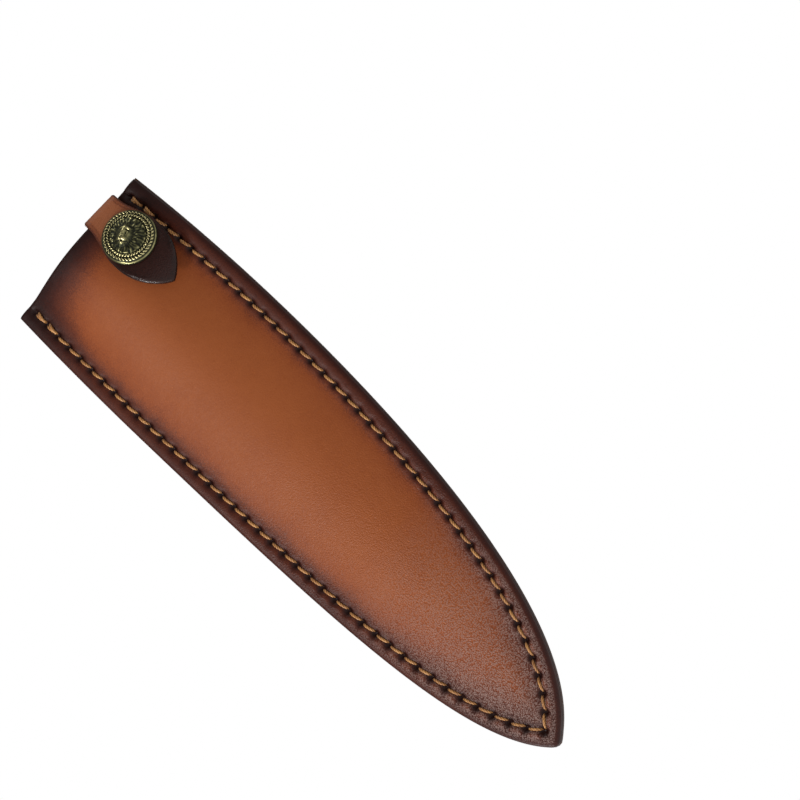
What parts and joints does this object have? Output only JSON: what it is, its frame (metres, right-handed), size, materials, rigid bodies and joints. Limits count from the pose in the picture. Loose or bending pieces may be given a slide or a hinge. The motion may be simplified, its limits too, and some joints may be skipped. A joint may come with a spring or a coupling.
{
  "type": "leather knife sheath",
  "caption": "Stitched leather sheath for a broad pointed blade, with a riveted belt loop behind and a snap strap that closes over the mouth.",
  "frame": {"origin": "middle of the space that the belt goes through, behind the back panel", "axes": "+Z along the sheath from the tip up to the mouth, -Y out of the front panel, +Y out of the back towards the wearer, +X across, towards the side that the snap strap is on"},
  "size_m": [0.0663, 0.0322, 0.2323],
  "materials": {
    "panel_leather": "hand-burnished tan with dark brown edges, semi-gloss",
    "edge_leather": "burnished dark edge, semi-gloss",
    "strap_leather": "tan with dark burnished ends, satin",
    "seam_thread": "waxed golden-tan thread",
    "antique_brass": "antique, dark in the hollows",
    "plain_brass": "satin"
  },
  "bodies": {
    "sheath": {"front_panel": "panel_leather", "back_panel": "panel_leather", "welt": "edge_leather", "needle_thread": "seam_thread", "bobbin_thread": "seam_thread", "belt_loop": "strap_leather", "loop_rivet_cap": "plain_brass", "loop_rivet_post": "plain_brass", "strap_tail": "strap_leather", "strap_rivet_cap": "plain_brass", "strap_rivet_post": "plain_brass", "snap_stud": "plain_brass", "snap_stud_post": "plain_brass"},
    "bridge": {"strap_bridge": "strap_leather"},
    "flap": {"strap_flap": "strap_leather", "snap_cap": "antique_brass", "snap_cap_post": "plain_brass", "snap_socket": "plain_brass", "snap_spring": "plain_brass"}
  },
  "joints": [
    {"name": "strap_lift", "type": "hinge", "parent": "sheath", "child": "bridge", "pos_m": [0.0134, -0.0044, 0.0455], "axis": [-1, 0, 0], "range_deg": [0, 100]},
    {"name": "flap_open", "type": "hinge", "parent": "bridge", "child": "flap", "pos_m": [0.0168, -0.01463, 0.0455], "axis": [-0.9336, -0.3584, 0], "range_deg": [0, 150]}
  ]
}
